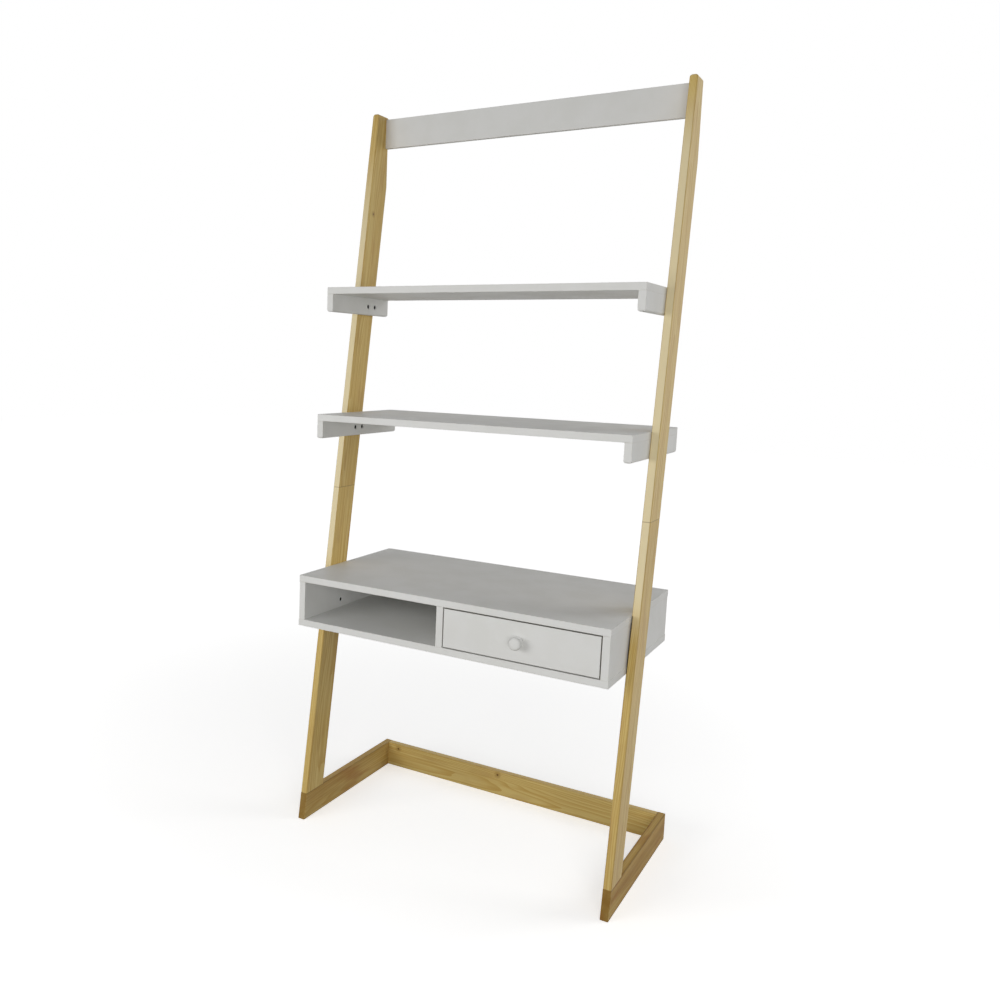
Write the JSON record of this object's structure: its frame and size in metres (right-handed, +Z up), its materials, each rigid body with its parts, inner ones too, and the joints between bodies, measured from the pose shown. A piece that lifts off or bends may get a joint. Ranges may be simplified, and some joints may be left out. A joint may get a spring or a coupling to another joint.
{
  "type": "ladder desk",
  "caption": "Leaning ladder desk in pine and white paint, with two open shelves over a desk box that holds a cubby and a drawer.",
  "frame": {"origin": "on the floor, under the middle of the whole desk with its drawer shut and its knob counted", "axes": "+X to the user's right, +Y away from the user towards the wall, +Z up"},
  "size_m": [0.8, 0.508, 1.778],
  "materials": {
    "pine": "clear matt varnish over pine",
    "painted_board": "satin white paint over board",
    "hardboard": "thin painted board",
    "beech": "bare fluted dowel",
    "black_steel": "black zinc plated",
    "bright_steel": "bright zinc plated",
    "zinc_insert": "yellow zinc plated",
    "coated_steel": "white epoxy powder coat",
    "nylon": "moulded nylon"
  },
  "bodies": {
    "frame": {"cabinet_roller_rivets": "bright_steel", "desk_back_panel": "hardboard", "desk_bolts": "black_steel", "desk_bottom_panel": "painted_board", "desk_divider": "painted_board", "desk_dowels": "beech", "desk_inserts": "zinc_insert", "desk_left_side": "painted_board", "desk_locating_dowels": "beech", "desk_right_side": "painted_board", "desk_top_panel": "painted_board", "foot_dowels": "beech", "left_cabinet_runner": "coated_steel", "left_foot_rail": "pine", "left_lower_post": "pine", "left_upper_post": "pine", "lower_shelf_bolts": "black_steel", "lower_shelf_dowels": "beech", "lower_shelf_inserts": "zinc_insert", "lower_shelf_left_cleat": "painted_board", "lower_shelf_panel": "painted_board", "lower_shelf_right_cleat": "painted_board", "rear_foot_rail": "pine", "rear_rail_dowels": "beech", "right_cabinet_runner": "coated_steel", "right_foot_rail": "pine", "right_lower_post": "pine", "right_upper_post": "pine", "splice_bolts": "black_steel", "splice_dowels": "beech", "top_rail": "painted_board", "top_rail_dowels": "beech", "upper_shelf_bolts": "black_steel", "upper_shelf_dowels": "beech", "upper_shelf_inserts": "zinc_insert", "upper_shelf_left_cleat": "painted_board", "upper_shelf_panel": "painted_board", "upper_shelf_right_cleat": "painted_board"},
    "drawer": {"drawer_front": "painted_board", "drawer_left_side": "painted_board", "drawer_right_side": "painted_board", "drawer_back": "painted_board", "drawer_bottom": "hardboard", "drawer_dowels": "beech", "drawer_knob": "painted_board", "drawer_knob_screw": "black_steel", "left_drawer_runner": "coated_steel", "right_drawer_runner": "coated_steel", "drawer_roller_rivets": "bright_steel"},
    "left_cabinet_roller": {"left_cabinet_roller": "nylon"},
    "right_cabinet_roller": {"right_cabinet_roller": "nylon"},
    "left_drawer_roller": {"left_drawer_roller": "nylon"},
    "right_drawer_roller": {"right_drawer_roller": "nylon"}
  },
  "joints": [
    {"name": "drawer_slide", "type": "slide", "parent": "frame", "child": "drawer", "axis": [0, -1, 0], "range_m": [0, 0.25]},
    {"name": "left_cabinet_roller_spin", "type": "hinge", "parent": "frame", "child": "left_cabinet_roller", "pos_m": [0.012, -0.199, 0.556], "axis": [1, 0, 0], "range_deg": [0, 1600]},
    {"name": "right_cabinet_roller_spin", "type": "hinge", "parent": "frame", "child": "right_cabinet_roller", "pos_m": [0.359, -0.199, 0.556], "axis": [1, 0, 0], "range_deg": [0, 1600]},
    {"name": "left_drawer_roller_spin", "type": "hinge", "parent": "drawer", "child": "left_drawer_roller", "pos_m": [0.012, 0.125, 0.5558], "axis": [1, 0, 0], "range_deg": [0, 1600]},
    {"name": "right_drawer_roller_spin", "type": "hinge", "parent": "drawer", "child": "right_drawer_roller", "pos_m": [0.359, 0.125, 0.5558], "axis": [1, 0, 0], "range_deg": [0, 1600]}
  ],
  "couplings": [
    {"joint": "left_cabinet_roller_spin", "follows": "drawer_slide", "rad_per_m": 111.11},
    {"joint": "right_cabinet_roller_spin", "follows": "drawer_slide", "rad_per_m": 111.11},
    {"joint": "left_drawer_roller_spin", "follows": "drawer_slide", "rad_per_m": 111.11},
    {"joint": "right_drawer_roller_spin", "follows": "drawer_slide", "rad_per_m": 111.11}
  ]
}
